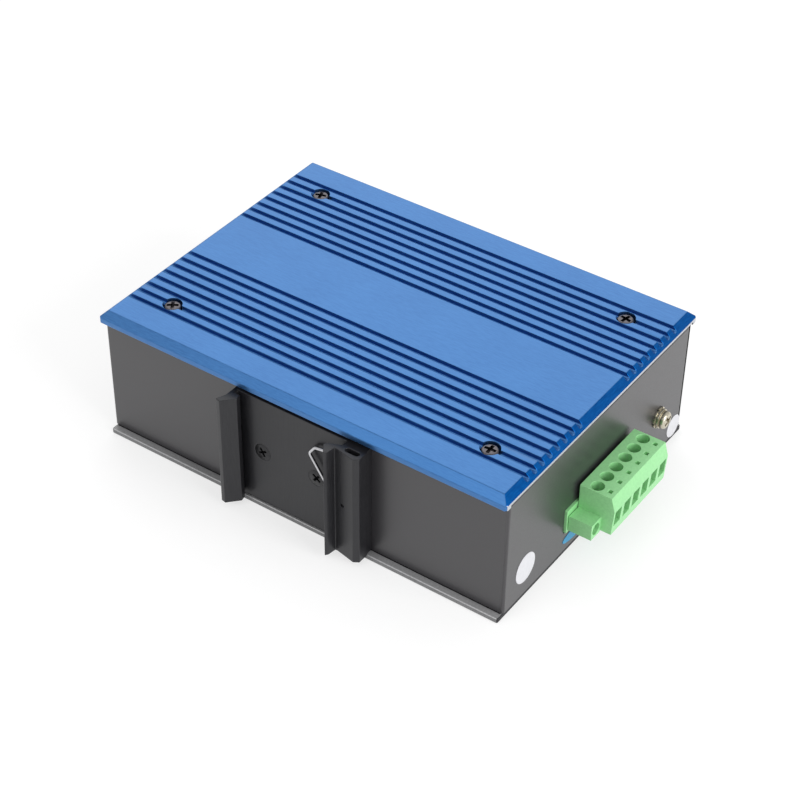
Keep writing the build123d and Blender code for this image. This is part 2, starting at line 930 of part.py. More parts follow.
def lamp_board():
    """The upright lamp board behind the lights, standing on the main board."""
    near = panel_back - light_length - lamp_size / 2
    high = top_light_height + light_pitch / 2
    half = light_pitch / 2
    return box(light_x - half, light_x + half, near - lamp_board_thickness, near, board_top, high)


def status_lamps():
    """The small lamps on the upright board, one behind each light guide."""
    near = panel_back - light_length - lamp_size / 2
    half = lamp_size / 2
    low_x = light_x - half
    high_x = light_x + half
    return [box(low_x, high_x, near, near + half, z - half, z + half) for z in light_heights]


def status_lights():
    """The light guides in the port side, each with a shoulder behind the panel."""
    guides = []
    wide = light_width / 2
    tall = light_height / 2
    rim_wide = wide + light_shoulder
    rim_tall = tall + light_shoulder
    inner = panel_back - light_length
    shoulder = panel_back - light_shoulder
    for z in light_heights:
        guide = box(light_x - wide, light_x + wide, inner, wall_face + light_proud, z - tall, z + tall)
        rim = box(light_x - rim_wide, light_x + rim_wide, shoulder, panel_back, z - rim_tall, z + rim_tall)
        guides.append(guide + rim)
    return guides


def square_at_chip(size, z0, z1):
    """A square block standing over the middle of the switching chip."""
    half = size / 2
    return box(chip_x - half, chip_x + half, chip_y - half, chip_y + half, z0, z1)


def switch_chip():
    """The switching chip, a flat package with a raised lid."""
    base = square_at_chip(chip_size, board_top, board_top + chip_base_height)
    return base + square_at_chip(chip_size - 2 * chip_lid_inset, board_top, board_top + chip_height)


def heat_path():
    """The two soft pads and the aluminium block that carry the chip's heat up to the finned cover."""
    low = board_top + chip_height
    high = cover_underside - pad_thickness
    lower = square_at_chip(chip_size - 2 * chip_lid_inset, low, low + pad_thickness)
    block = square_at_chip(heat_block_size, low + pad_thickness, high)
    upper = square_at_chip(heat_block_size, high, cover_underside)
    return lower, chamfer(block.edges().filter_by(Axis.Z), heat_block_chamfer), upper


def magnetics():
    """One transformer block behind each pair of ports."""
    far = port_face - stack_depth - shield_thickness - magnetics_gap_y
    near = far - magnetics_width
    half = magnetics_length / 2
    high = board_top + magnetics_height
    return [box(x - half, x + half, near, far, board_top, high) for x in stack_places]


def chokes():
    """The power chokes by the rear wall."""
    half = choke_size / 2
    y = board_rear + half + choke_edge_gap
    first = -post_x + choke_post_gap + half
    pieces = []
    for i in range(choke_count):
        x = first + i * choke_pitch
        choke = box(x - half, x + half, y - half, y + half, board_top, board_top + choke_height)
        pieces.append(chamfer(choke.edges().filter_by(Axis.Z), choke_chamfer))
    return pieces


def capacitors():
    """The two box film capacitors on the power side."""
    low_y = board_rear + capacitor_edge_gap
    high_y = low_y + capacitor_length
    half = capacitor_width / 2
    outer = post_x - capacitor_post_gap - half
    places = [outer, outer - capacitor_pitch]
    return [box(x - half, x + half, low_y, high_y, board_top, board_top + capacitor_height) for x in places]


def controllers():
    """The flat power controllers, one for each half of the ports."""
    half = controller_size / 2
    y = chip_y - chip_size / 2 + half
    nearer = chip_x - chip_size / 2 - controller_chip_gap - half
    high = board_top + controller_height
    places = [nearer - controller_pitch, nearer]
    return [box(x - half, x + half, y - half, y + half, board_top, high) for x in places]


def alarm_relay():
    """The alarm relay beside the power terminal."""
    x = pin_bend_x() - relay_width / 2 - pin_clearance
    y = terminal_y + terminal_length / 4
    return box(
        x - relay_width / 2, x + relay_width / 2, y - relay_length / 2, y + relay_length / 2,
        board_top, board_top + relay_height,
    )


def input_fuse():
    """The fuse in the power input."""
    x = pin_bend_x() - fuse_width / 2 - pin_clearance
    y = terminal_y - terminal_length / 4
    return box(
        x - fuse_width / 2, x + fuse_width / 2, y - fuse_length / 2, y + fuse_length / 2,
        board_top, board_top + fuse_height,
    )


def all_parts():
    """Every named piece of the switch."""
    lower_pad, heat_block, upper_pad = heat_path()
    parts = {
        "top_cover": top_cover(),
        "bottom_cover": bottom_cover(),
        "chassis": chassis(),
        "front_panel": front_panel(),
        "din_clip": din_clip(),
        "clip_spring": clip_spring(),
        "clip_screws": clip_screws(),
        "cover_screws": cover_screws(),
        "base_screws": base_screws(),
        "upper_posts": upper_posts(),
        "lower_posts": lower_posts(),
        "main_board": main_board(),
        "terminal_header": terminal_header(),
        "header_pins": header_pins(),
        "terminal_plug": terminal_plug(),
        "wire_clamps": wire_clamps(),
        "clamp_screws": clamp_screws(),
        "plug_contacts": plug_contacts(),
        "locking_screws": locking_screws(),
        "tooth_washer": tooth_washer(),
        "spring_washer": spring_washer(),
        "ground_screw": ground_screw(),
        "round_label": end_label(Circle(round_label_diameter / 2), round_label_y, round_label_height),
        "ground_label": end_label(Circle(ground_label_diameter / 2), ground_label_y, ground_label_height),
        "oval_label": end_label(
            Ellipse(oval_label_width / 2, oval_label_length / 2), oval_label_y, oval_label_height
        ),
        "port_shields": port_shields(),
        "port_contacts": port_contacts(),
        "port_lights": port_lights(),
        "lamp_board": lamp_board(),
        "status_lamps": status_lamps(),
        "status_lights": status_lights(),
        "switch_chip": switch_chip(),
        "chip_pad": lower_pad,
        "heat_block": heat_block,
        "cover_pad": upper_pad,
        "magnetics": magnetics(),
        "chokes": chokes(),
        "capacitors": capacitors(),
        "controllers": controllers(),
        "alarm_relay": alarm_relay(),
        "input_fuse": input_fuse(),
    }
    for i, x in enumerate(stack_places):
        parts[f"port_stack_{i + 1}"] = port_stack(x)
    return parts


os.makedirs("parts", exist_ok=True)
for name, shape in all_parts().items():
    solids = shape if isinstance(shape, list) else [shape]
    whole = Compound(children=[solid for piece in solids for solid in piece.solids()])
    export_step(whole, f"parts/{name}.step")
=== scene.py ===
from math import cos, pi, radians, sin

import bmesh
import bpy
from mathutils import Matrix, Vector


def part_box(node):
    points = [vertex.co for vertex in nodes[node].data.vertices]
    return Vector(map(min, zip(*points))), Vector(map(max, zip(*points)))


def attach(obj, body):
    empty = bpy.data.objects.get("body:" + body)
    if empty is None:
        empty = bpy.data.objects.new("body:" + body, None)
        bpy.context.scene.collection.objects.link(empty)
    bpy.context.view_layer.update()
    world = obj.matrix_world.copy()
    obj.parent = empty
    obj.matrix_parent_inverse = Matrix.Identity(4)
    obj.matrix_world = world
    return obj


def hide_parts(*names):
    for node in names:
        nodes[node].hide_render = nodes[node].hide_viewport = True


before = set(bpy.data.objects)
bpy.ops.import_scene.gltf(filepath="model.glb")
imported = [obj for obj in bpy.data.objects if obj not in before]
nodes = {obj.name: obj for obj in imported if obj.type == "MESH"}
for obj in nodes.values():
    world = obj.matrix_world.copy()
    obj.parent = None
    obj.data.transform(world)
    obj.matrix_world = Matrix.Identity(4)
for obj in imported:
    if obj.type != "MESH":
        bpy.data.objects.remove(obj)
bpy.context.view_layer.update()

# Photographer's table: a white sweep under the case, a pale room and three square soft boxes.
# The camera looks down on the corner between the rail side and the terminal end.
MM = 0.001
camera_place = (0.27234, -0.39251, 0.40003)
camera_turn = (radians(50.925), radians(-0.581), radians(35.137))
camera_focal = 90.78
case_middle = Vector((0.0, 0.0, 20.0 * MM))
room_strength = 0.85
sweep_half = 3.0
sweep_drop = 0.2 * MM
sweep_matt = (0.80, 0.80, 0.80, 1.0)
sweep_matt_seen = (0.42, 0.42, 0.42, 1.0)
sweep_glow_seen = 0.63

camera_lens = bpy.data.cameras.new("camera")
camera_lens.lens = camera_focal
camera_lens.clip_start = 10.0 * MM
camera = bpy.data.objects.new("camera", camera_lens)
camera.location = camera_place
camera.rotation_euler = camera_turn
bpy.context.scene.collection.objects.link(camera)
bpy.context.scene.camera = camera
bpy.context.scene.view_settings.view_transform = "Standard"

room = bpy.data.worlds.new("pale room")
room.use_nodes = True
room_tree = room.node_tree
room_tree.nodes.clear()
room_light = room_tree.nodes.new("ShaderNodeBackground")
room_light.inputs["Strength"].default_value = room_strength
room_white = room_tree.nodes.new("ShaderNodeBackground")
room_white.inputs["Color"].default_value = (1.0, 1.0, 1.0, 1.0)
room_path = room_tree.nodes.new("ShaderNodeLightPath")
room_mix = room_tree.nodes.new("ShaderNodeMixShader")
room_out = room_tree.nodes.new("ShaderNodeOutputWorld")
room_tree.links.new(room_path.outputs["Is Camera Ray"], room_mix.inputs["Fac"])
room_tree.links.new(room_light.outputs[0], room_mix.inputs[1])
room_tree.links.new(room_white.outputs[0], room_mix.inputs[2])
room_tree.links.new(room_mix.outputs[0], room_out.inputs["Surface"])
bpy.context.scene.world = room


def soft_box(name, place, width, brightness):
    """A square soft box turned to the middle of the case; a brightness of one is plain white."""
    lamp = bpy.data.lights.new(name, "AREA")
    lamp.shape = "SQUARE"
    lamp.size = width
    lamp.energy = brightness * pi * width * width
    holder = bpy.data.objects.new(name, lamp)
    bpy.context.scene.collection.objects.link(holder)
    holder.location = place
    holder.rotation_mode = "QUATERNION"
    holder.rotation_quaternion = (case_middle - Vector(place)).to_track_quat("-Z", "Y")


soft_box("front soft box", place=(-0.30, -0.95, 0.85), width=0.7, brightness=1.3)
soft_box("right soft box", place=(1.15, -0.10, 0.55), width=0.8, brightness=4.8)
soft_box("back left soft box", place=(-0.60, 0.85, 0.95), width=1.1, brightness=1.0)


def mesh_object(name, body):
    """A new smooth shaded object from a finished bmesh, standing at the origin."""
    bmesh.ops.recalc_face_normals(body, faces=body.faces)
    shape = bpy.data.meshes.new(name)
    body.to_mesh(shape)
    body.free()
    for face in shape.polygons:
        face.use_smooth = True
    piece = bpy.data.objects.new(name, shape)
    bpy.context.scene.collection.objects.link(piece)
    return piece


def seen_directly(tree):
    """One where the camera, a reflection or clear plastic looks straight at the surface, else nought."""
    path = tree.nodes.new("ShaderNodeLightPath")
    first = tree.nodes.new("ShaderNodeMath")
    first.operation = "MAXIMUM"
    tree.links.new(path.outputs["Is Camera Ray"], first.inputs[0])
    tree.links.new(path.outputs["Is Glossy Ray"], first.inputs[1])
    both = tree.nodes.new("ShaderNodeMath")
    both.operation = "MAXIMUM"
    tree.links.new(first.outputs[0], both.inputs[0])
    tree.links.new(path.outputs["Is Transmission Ray"], both.inputs[1])
    return both.outputs[0]


sweep_body = bmesh.new()
sweep_place = Matrix.Translation((0.0, 0.0, -sweep_drop))
bmesh.ops.create_grid(sweep_body, x_segments=8, y_segments=8, size=sweep_half, matrix=sweep_place)
white_sweep = mesh_object("white_sweep", sweep_body)
sweep_white = bpy.data.materials.new("white sweep")
sweep_white.use_nodes = True
sweep_tree = sweep_white.node_tree
sweep_tree.nodes.clear()
plain_matt = sweep_tree.nodes.new("ShaderNodeBsdfDiffuse")
plain_matt.inputs["Color"].default_value = sweep_matt
seen_matt = sweep_tree.nodes.new("ShaderNodeBsdfDiffuse")
seen_matt.inputs["Color"].default_value = sweep_matt_seen
seen_glow = sweep_tree.nodes.new("ShaderNodeEmission")
seen_glow.inputs["Strength"].default_value = sweep_glow_seen
seen_sum = sweep_tree.nodes.new("ShaderNodeAddShader")
sweep_mix = sweep_tree.nodes.new("ShaderNodeMixShader")
sweep_out = sweep_tree.nodes.new("ShaderNodeOutputMaterial")
sweep_tree.links.new(seen_matt.outputs[0], seen_sum.inputs[0])
sweep_tree.links.new(seen_glow.outputs[0], seen_sum.inputs[1])
sweep_tree.links.new(seen_directly(sweep_tree), sweep_mix.inputs["Fac"])
sweep_tree.links.new(plain_matt.outputs[0], sweep_mix.inputs[1])
sweep_tree.links.new(seen_sum.outputs[0], sweep_mix.inputs[2])
sweep_tree.links.new(sweep_mix.outputs[0], sweep_out.inputs["Surface"])
white_sweep.data.materials.append(sweep_white)

# Finned cover: one length of extruded aluminium, sawn, bevelled all round and anodised blue.
# Eight grooves run along each half, and a sunk seat near each corner takes a screw.
# Its upright ends stay bare, its rebates are painted black as shadow, and its end bevels are painted a
# deeper blue as shade.
cover_length = 143.0 * MM
cover_width = 104.0 * MM
cover_top = 46.0 * MM
cover_foot = 42.0 * MM
cover_bevel = 2.2 * MM
cover_corner = 0.7 * MM
cover_ease = 0.22 * MM
groove_count = 8
groove_first = 12.95 * MM
groove_pitch = 3.9 * MM
groove_half = 0.825 * MM
groove_depth = 1.5 * MM
groove_turn = 0.6 * MM
groove_steps = 4
seat_radius = 3.0 * MM
seat_depth = 2.3 * MM
seat_level = cover_top - seat_depth
drill_radius = 1.7 * MM
seat_reach_x = 56.0 * MM
seat_reach_y = 36.4 * MM
screw_seats = [(x * seat_reach_x, y * seat_reach_y) for x in (-1, 1) for y in (-1, 1)]
rebate_depth = 0.6 * MM
rebate_half = 49.8 * MM
rebate_top = cover_foot + 1.0 * MM
tool_run_out = 1.0 * MM
hair = 0.01 * MM
# How far a face leans one way, as a share of its normal.
hardly = 0.3
mostly = 0.6
nearly = 0.95


def groove_section(middle):
    """One groove seen end on, from its left lip down round its floor and up to its right lip."""
    points = [(middle - groove_half, cover_top)]
    turn_z = cover_top - groove_depth + groove_turn
    for side, start in ((-1, pi), (1, 1.5 * pi)):
        turn_y = middle + side * (groove_half - groove_turn)
        for step in range(groove_steps + 1):
            angle = start + step * pi / 2 / groove_steps
            points.append((turn_y + groove_turn * cos(angle), turn_z + groove_turn * sin(angle)))
    points.append((middle + groove_half, cover_top))
    return points


def cover_section():
    """The cover seen end on as (y, z) points, from its left foot over the fins to its right foot."""
    side_y = cover_width / 2
    bevel_z = cover_top - cover_bevel
    points = [(-side_y, cover_foot), (-side_y, bevel_z), (-side_y + cover_bevel, cover_top)]
    offsets = [groove_first + i * groove_pitch for i in range(groove_count)]
    for middle in sorted(side * offset for side in (-1, 1) for offset in offsets):
        points += groove_section(middle)
    points += [(side_y - cover_bevel, cover_top), (side_y, bevel_z), (side_y, cover_foot)]
    return points


def cover_blank():
    """The bevelled length of extrusion, its corners clipped, before its seats are sunk."""
    body = bmesh.new()
    ends = []
    for side in (-1, 1):
        row = []
        for y, z in cover_section():
            reach = cover_length / 2 - max(0.0, z - (cover_top - cover_bevel))
            row.append(body.verts.new((side * reach, y, z)))
        ends.append(row)
    near, far = ends
    for i in range(len(near) - 1):
        body.faces.new((near[i], near[i + 1], far[i + 1], far[i]))
    body.faces.new((near[-1], near[0], far[0], far[-1]))
    for row in ends:
        body.faces.new(row[1:-1])
        body.faces.new((row[0], row[1], row[-2], row[-1]))
    bmesh.ops.recalc_face_normals(body, faces=body.faces)
    for x in (-1, 1):
        for y in (-1, 1):
            clip_at = Vector((x * (cover_length / 2 - cover_corner), y * cover_width / 2, 0.0))
            outwards = Vector((x, y, 0.0)).normalized()
            whole = body.verts[:] + body.edges[:] + body.faces[:]
            cut = bmesh.ops.bisect_plane(
                body, geom=whole, plane_co=clip_at, plane_no=outwards, clear_outer=True
            )
            rim = [item for item in cut["geom_cut"] if isinstance(item, bmesh.types.BMEdge)]
            bmesh.ops.contextual_create(body, geom=rim)
    return body


def settled(piece):
    """Makes a piece's modifiers part of its mesh."""
    ready = piece.evaluated_get(bpy.context.evaluated_depsgraph_get())
    shape = bpy.data.meshes.new_from_object(ready)
    piece.modifiers.clear()
    piece.data = shape
    return piece


def eased(piece, width):
    """Rounds a piece's sharp edges by a small width, as a tumbled, coated or moulded edge is."""
    edge = piece.modifiers.new("eased edges", "BEVEL")
    edge.width = width
    edge.segments = 2
    edge.limit_method = "ANGLE"
    edge.angle_limit = radians(35.0)
    edge.use_clamp_overlap = False
    return settled(piece)


def evened(piece):
    """Keeps a piece's flats flat to the light up to their eased edges, and its creases sharp."""
    for face in piece.data.polygons:
        face.use_smooth = True
    piece.data.set_sharp_from_angle(angle=radians(40.0))
    weight = piece.modifiers.new("evened light", "WEIGHTED_NORMAL")
    weight.keep_sharp = True
    weight.weight = 100
    return settled(piece)


def cut_with(piece, tool):
    """Cuts a tool's shape out of a piece and puts the tool away."""
    cut = piece.modifiers.new("cut", "BOOLEAN")
    cut.operation = "DIFFERENCE"
    cut.solver = "EXACT"
    cut.object = tool
    settled(piece)
    bpy.data.objects.remove(tool)
    return piece


def round_bar(name, radius, low, high, x=0.0, y=0.0, sides=64):
    """A plain upright bar, used as a drill."""
    body = bmesh.new()
    place = Matrix.Translation((x, y, (low + high) / 2))
    bmesh.ops.create_cone(
        body, cap_ends=True, segments=sides, radius1=radius, radius2=radius, depth=high - low, matrix=place
    )
    return mesh_object(name, body)


def square_bar(name, low, high):
    """A plain block between two corners, used as a mill."""
    body = bmesh.new()
    size = [b - a for a, b in zip(low, high)]
    middle = [(a + b) / 2 for a, b in zip(low, high)]
    place = Matrix.Translation(middle) @ Matrix.Diagonal((*size, 1.0))
    bmesh.ops.create_cube(body, size=1.0, matrix=place)
    return mesh_object(name, body)


def worked_surface(name, colour, shade, metallic, roughness, grain, bump, lie=(1.0, 1.0, 1.0)):
    """A node material: two close colours mixed by the grain, with the same grain in gloss and relief."""
    broad_grain = 45.0
    broad_share = 0.3
    shade_level, colour_level = 0.45, 0.85
    grain_low, grain_high = 0.3, 0.7
    gloss_swing = 0.05
    relief_depth = 0.02 * MM
    material = bpy.data.materials.new(name)
    material.use_nodes = True
    tree = material.node_tree
    surface = tree.nodes["Principled BSDF"]
    surface.inputs["Metallic"].default_value = metallic
    place = tree.nodes.new("ShaderNodeTexCoord")
    lay = tree.nodes.new("ShaderNodeMapping")
    lay.inputs["Scale"].default_value = lie
    tree.links.new(place.outputs["Object"], lay.inputs["Vector"])
    fine = tree.nodes.new("ShaderNodeTexNoise")
    fine.inputs["Scale"].default_value = grain
    fine.inputs["Detail"].default_value = 4.0
    tree.links.new(lay.outputs[0], fine.inputs["Vector"])
    broad = tree.nodes.new("ShaderNodeTexNoise")
    broad.inputs["Scale"].default_value = broad_grain
    broad.inputs["Detail"].default_value = 2.0
    tree.links.new(place.outputs["Object"], broad.inputs["Vector"])
    both = tree.nodes.new("ShaderNodeMath")
    both.operation = "MULTIPLY_ADD"
    tree.links.new(broad.outputs["Fac"], both.inputs[0])
    both.inputs[1].default_value = broad_share
    tree.links.new(fine.outputs["Fac"], both.inputs[2])
    tone = tree.nodes.new("ShaderNodeValToRGB")
    tone.color_ramp.elements[0].position = shade_level
    tone.color_ramp.elements[0].color = (*shade, 1.0)
    tone.color_ramp.elements[1].position = colour_level
    tone.color_ramp.elements[1].color = (*colour, 1.0)
    tree.links.new(both.outputs[0], tone.inputs["Fac"])
    tree.links.new(tone.outputs["Color"], surface.inputs["Base Color"])
    gloss = tree.nodes.new("ShaderNodeMapRange")
    gloss.inputs["From Min"].default_value = grain_low
    gloss.inputs["From Max"].default_value = grain_high
    gloss.inputs["To Min"].default_value = roughness - gloss_swing
    gloss.inputs["To Max"].default_value = roughness + gloss_swing
    tree.links.new(fine.outputs["Fac"], gloss.inputs["Value"])
    tree.links.new(gloss.outputs["Result"], surface.inputs["Roughness"])
    relief = tree.nodes.new("ShaderNodeBump")
    relief.inputs["Strength"].default_value = bump
    relief.inputs["Distance"].default_value = relief_depth
    tree.links.new(fine.outputs["Fac"], relief.inputs["Height"])
    tree.links.new(relief.outputs["Normal"], surface.inputs["Normal"])
    return material


def coated(material, weight, roughness, bend=1.6):
    """Adds the clear top layer of an anodised or painted finish."""
    surface = material.node_tree.nodes["Principled BSDF"]
    surface.inputs["Coat Weight"].default_value = weight
    surface.inputs["Coat Roughness"].default_value = roughness
    surface.inputs["Coat IOR"].default_value = bend
    return material


def dressed(piece, material, node):
    """Gives a piece its finish and its place on the case, and hides the node that it stands for."""
    evened(piece)
    piece.data.materials.clear()
    piece.data.materials.append(material)
    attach(piece, "root")
    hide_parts(node)


def finished_by_face(piece, finishes, choose):
    """Adds more finishes to a dressed piece and gives each face the one that choose picks, if any."""
    for finish in finishes:
        piece.data.materials.append(finish)
    for face in piece.data.polygons:
        picked = choose(face)
        if picked:
            face.material_index = piece.data.materials.find(picked.name)


blue_anodised = coated(
    worked_surface(
        "blue anodised aluminium", colour=(0.046, 0.184, 0.455), shade=(0.030, 0.138, 0.368),
        metallic=1.0, roughness=0.38, grain=2600.0, bump=0.35, lie=(0.15, 1.0, 1.0),
    ),
    weight=0.45, roughness=0.36,
)
bare_end = worked_surface(
    "sawn end", colour=(0.62, 0.63, 0.66), shade=(0.50, 0.51, 0.54),
    metallic=0.9, roughness=0.42, grain=3000.0, bump=0.3, lie=(1.0, 1.0, 0.1),
)
# Painted shadow: black put in the rebates and seams, where there is only shade.
painted_shadow_black = worked_surface(
    "painted shadow black", colour=(0.012, 0.012, 0.016), shade=(0.008, 0.008, 0.010),
    metallic=0.0, roughness=0.60, grain=3000.0, bump=0.1,
)
# Painted shade: a darker copy of the blue anodise for the end bevels.
painted_shade_blue = worked_surface(
    "painted shade end bevel", colour=(0.004, 0.120, 0.430), shade=(0.002, 0.085, 0.340),
    metallic=1.0, roughness=0.40, grain=2600.0, bump=0.30, lie=(1.0, 0.15, 1.0),
)


def cover_finish(face):
    """Bare on the upright ends, painted shadow black in the rebates and a painted shade of deeper blue on
    the end bevels.
    """
    across = abs(face.normal.x)
    from_end = cover_length / 2 - abs(face.center.x)
    if across > mostly and abs(face.normal.z) < hardly and from_end < rebate_depth / 2:
        return bare_end
    if from_end < rebate_depth + hair and face.center.z < rebate_top + hair:
        return painted_shadow_black
    if hardly < across < nearly and face.normal.z > hardly and from_end < cover_bevel:
        return painted_shade_blue
    return None


finned_cover = eased(mesh_object("finned_cover", cover_blank()), cover_ease)
for seat_x, seat_y in screw_seats:
    seat_drill = round_bar("counterbore", seat_radius, seat_level, cover_top + tool_run_out, seat_x, seat_y)
    cut_with(finned_cover, seat_drill)
    drill_low = cover_foot - tool_run_out
    shank_drill = round_bar("drill", drill_radius, drill_low, cover_top, seat_x, seat_y, sides=40)
    cut_with(finned_cover, shank_drill)
for end in (-1, 1):
    inner_x = end * (cover_length / 2 - rebate_depth)
    outer_x = end * (cover_length / 2 + tool_run_out)
    rebate_low = (min(inner_x, outer_x), -rebate_half, cover_foot - tool_run_out)
    rebate_high = (max(inner_x, outer_x), rebate_half, rebate_top)
    cut_with(finned_cover, square_bar("rebate mill", rebate_low, rebate_high))
dressed(finned_cover, blue_anodised, "top_cover")
finished_by_face(finned_cover, (bare_end, painted_shadow_black, painted_shade_blue), cover_finish)

# Cover screws: four dark nickel plated pan heads with a cross recess, sunk below the fins.
# They are modelled as M3, cold formed with a low crown, and each goes into a long brass post.
thread_radius = 1.5 * MM
pan_radius = 2.8 * MM
pan_height = 2.0 * MM
pan_rim = 0.95 * MM
pan_crown = 0.12 * MM
pan_crown_middle = 0.03 * MM
pan_foot = 0.25 * MM
pan_foot_inset = 0.2 * MM
pan_steps = 6
pan_cross_length = 3.7 * MM
pan_cross_width = 1.05 * MM
pan_cross_depth = 1.3 * MM
cover_screw_shank = 7.9 * MM
punch_tip = 0.74
punch_mouth = 1.05
punch_taper = 0.4
punch_rise = 0.3 * MM


def turned(name, profile, sides=48):
    """A body turned round Z from (radius, height) points that start and end on the axis."""
    body = bmesh.new()
    rings = []
    for radius, height in profile:
        ring = []
        for i in range(sides if radius > 0.0 else 1):
            angle = 2 * pi * i / sides
            ring.append(body.verts.new((radius * cos(angle), radius * sin(angle), height)))
        rings.append(ring)
    for low, high in zip(rings, rings[1:]):
        for i in range(sides):
            j = (i + 1) % sides
            if len(low) == 1:
                body.faces.new((low[0], high[i], high[j]))
            elif len(high) == 1:
                body.faces.new((low[i], low[j], high[0]))
            else:
                body.faces.new((low[i], low[j], high[j], high[i]))
    return mesh_object(name, body)


def cross_punch(top, length, width, depth):
    """The two tapered blades of the punch that forms a cross recess."""
    box_sides = ((0, 3, 2, 1), (4, 5, 6, 7), (0, 1, 5, 4), (1, 2, 6, 5), (2, 3, 7, 6), (3, 0, 4, 7))
    blades = []
    for turn in (0.0, pi / 2):
        body = bmesh.new()
        corners = []
        for z, share in ((top - depth, punch_tip), (top + punch_rise, punch_mouth)):
            half_length = share * length / 2
            half_width = (1 - punch_taper + punch_taper * share) * width / 2
            for x, y in ((-1, -1), (1, -1), (1, 1), (-1, 1)):
                spot = Vector((x * half_length, y * half_width, z))
                corners.append(body.verts.new(Matrix.Rotation(turn, 3, "Z") @ spot))
        for side in box_sides:
            body.faces.new([corners[i] for i in side])
        blades.append(mesh_object("punch blade", body))
    return blades


def pan_head(name, shank):
    """A pan head screw whose seat is at nought, with its shank below."""
    rim_middle = pan_radius - pan_rim
    rim_level = pan_height - pan_crown - pan_rim
    profile = [(0.0, pan_height), (0.5 * rim_middle, pan_height - pan_crown_middle)]
    for step in range(pan_steps + 1):
        angle = pi / 2 * (1 - step / pan_steps)
        profile.append((rim_middle + pan_rim * cos(angle), rim_level + pan_rim * sin(angle)))
    profile += [(pan_radius, pan_foot), (pan_radius - pan_foot_inset, 0.0)]
    profile += [(thread_radius, 0.0), (thread_radius, -shank), (0.0, -shank)]
    screw = turned(name, profile)
    for blade in cross_punch(pan_height, pan_cross_length, pan_cross_width, pan_cross_depth):
        cut_with(screw, blade)
    return screw


def set_down(place, spin, facing=Matrix.Identity(4)):
    """The matrix of a screw at a place, facing one way and turned round itself by a spin."""
    return Matrix.Translation(place) @ facing @ Matrix.Rotation(spin, 4, "Z")


def repeated(name, pattern, places):
    """One mesh of a pattern set down at each of its places, each a matrix."""
    body = bmesh.new()
    for place in places:
        one = pattern.data.copy()
        one.transform(place)
        body.from_mesh(one)
        bpy.data.meshes.remove(one)
    bpy.data.objects.remove(pattern)
    shape = bpy.data.meshes.new(name)
    body.to_mesh(shape)
    body.free()
    piece = bpy.data.objects.new(name, shape)
    bpy.context.scene.collection.objects.link(piece)
    return piece


black_nickel = worked_surface(
    "black nickel plate", colour=(0.150, 0.140, 0.150), shade=(0.095, 0.088, 0.095),
    metallic=1.0, roughness=0.26, grain=3500.0, bump=0.15,
)
cover_screw_places = []
for i, (seat_x, seat_y) in enumerate(screw_seats):
    cover_screw_places.append(set_down((seat_x, seat_y, seat_level), spin=0.6 + 1.3 * i))
sunk_screws = repeated("sunk_screws", pan_head("pan head", cover_screw_shank), cover_screw_places)
dressed(sunk_screws, black_nickel, "cover_screws")

# Chassis: one steel sheet folded up as the rail wall and both ends, powder coated dark grey.
# Its top and bottom edges turn in under the cover and over the base plate.
# A thin black seam stands for the shadow line along its foot.
sheet_ease = 0.08 * MM
sheet_foot = 1.7 * MM
case_end = 71.0 * MM
rail_wall = -49.8 * MM
seam_top = sheet_foot + 0.45 * MM
wall_seam_depth = 0.5 * MM
end_seam_depth = 0.6 * MM


def from_solid(name, node, ease):
    """The node's own solid, its flat faces joined and its sharp edges eased, no point outside its box."""
    body = bmesh.new()
    body.from_mesh(nodes[node].data)
    bmesh.ops.remove_doubles(body, verts=body.verts, dist=0.002 * MM)
    bmesh.ops.dissolve_limit(body, angle_limit=radians(0.5), verts=body.verts, edges=body.edges)
    piece = eased(mesh_object(name, body), ease)
    low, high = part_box(node)
    for corner in piece.data.vertices:
        corner.co = [min(max(c, a), b) for c, a, b in zip(corner.co, low, high)]
    return piece


def chassis_finish(face):
    """Painted shadow black in the seam along the foot."""
    return painted_shadow_black if face.center.z < seam_top + hair else None


grey_coat = coated(
    worked_surface(
        "dark grey powder coat", colour=(0.026, 0.0245, 0.028), shade=(0.019, 0.0175, 0.021),
        metallic=0.0, roughness=0.44, grain=2600.0, bump=0.3,
    ),
    weight=0.60, roughness=0.30, bend=1.5,
)
folded_sheet = from_solid("folded_sheet", "chassis", sheet_ease)
seam_foot = sheet_foot - 1.0 * MM
seam_reach = 72.0 * MM
seam_near = -50.0 * MM
seam_far = 49.0 * MM
for seam_low, seam_high in (
    ((-seam_reach, seam_near, seam_foot), (seam_reach, rail_wall + wall_seam_depth, seam_top)),
    ((case_end - end_seam_depth, seam_near, seam_foot), (seam_reach, seam_far, seam_top)),
    ((-seam_reach, seam_near, seam_foot), (-case_end + end_seam_depth, seam_far, seam_top)),
):
    cut_with(folded_sheet, square_bar("seam", seam_low, seam_high))
dressed(folded_sheet, grey_coat, "chassis")
finished_by_face(folded_sheet, (painted_shadow_black,), chassis_finish)

# Base plate: flat steel sheet, as wide as the cover, so a lip shows along both long sides.
# Its corners are clipped, its sides are painted darker than its top as shade, and its upper edge is painted
# paler as a highlight.
# Its ends are black, which stands for the shadow under the folded sheet.
plate_ease = 0.25 * MM
plate_seam_half = 70.0 * MM
plate_seam_width = 0.8 * MM
plate_seam_floor = sheet_foot - 0.2 * MM
end_zone = 70.2 * MM
seam_check = 0.05 * MM
lip_coat = coated(
    worked_surface(
        "base plate coat", colour=(0.340, 0.340, 0.345), shade=(0.250, 0.250, 0.255),
        metallic=0.0, roughness=0.42, grain=1800.0, bump=0.3,
    ),
    weight=0.4, roughness=0.30,
)
# Painted shade: a darker copy of the plate's coat for its sides.
painted_shade_side_coat = worked_surface(
    "painted shade side coat", colour=(0.235, 0.235, 0.240), shade=(0.165, 0.165, 0.170),
    metallic=0.0, roughness=0.46, grain=1800.0, bump=0.3,
)
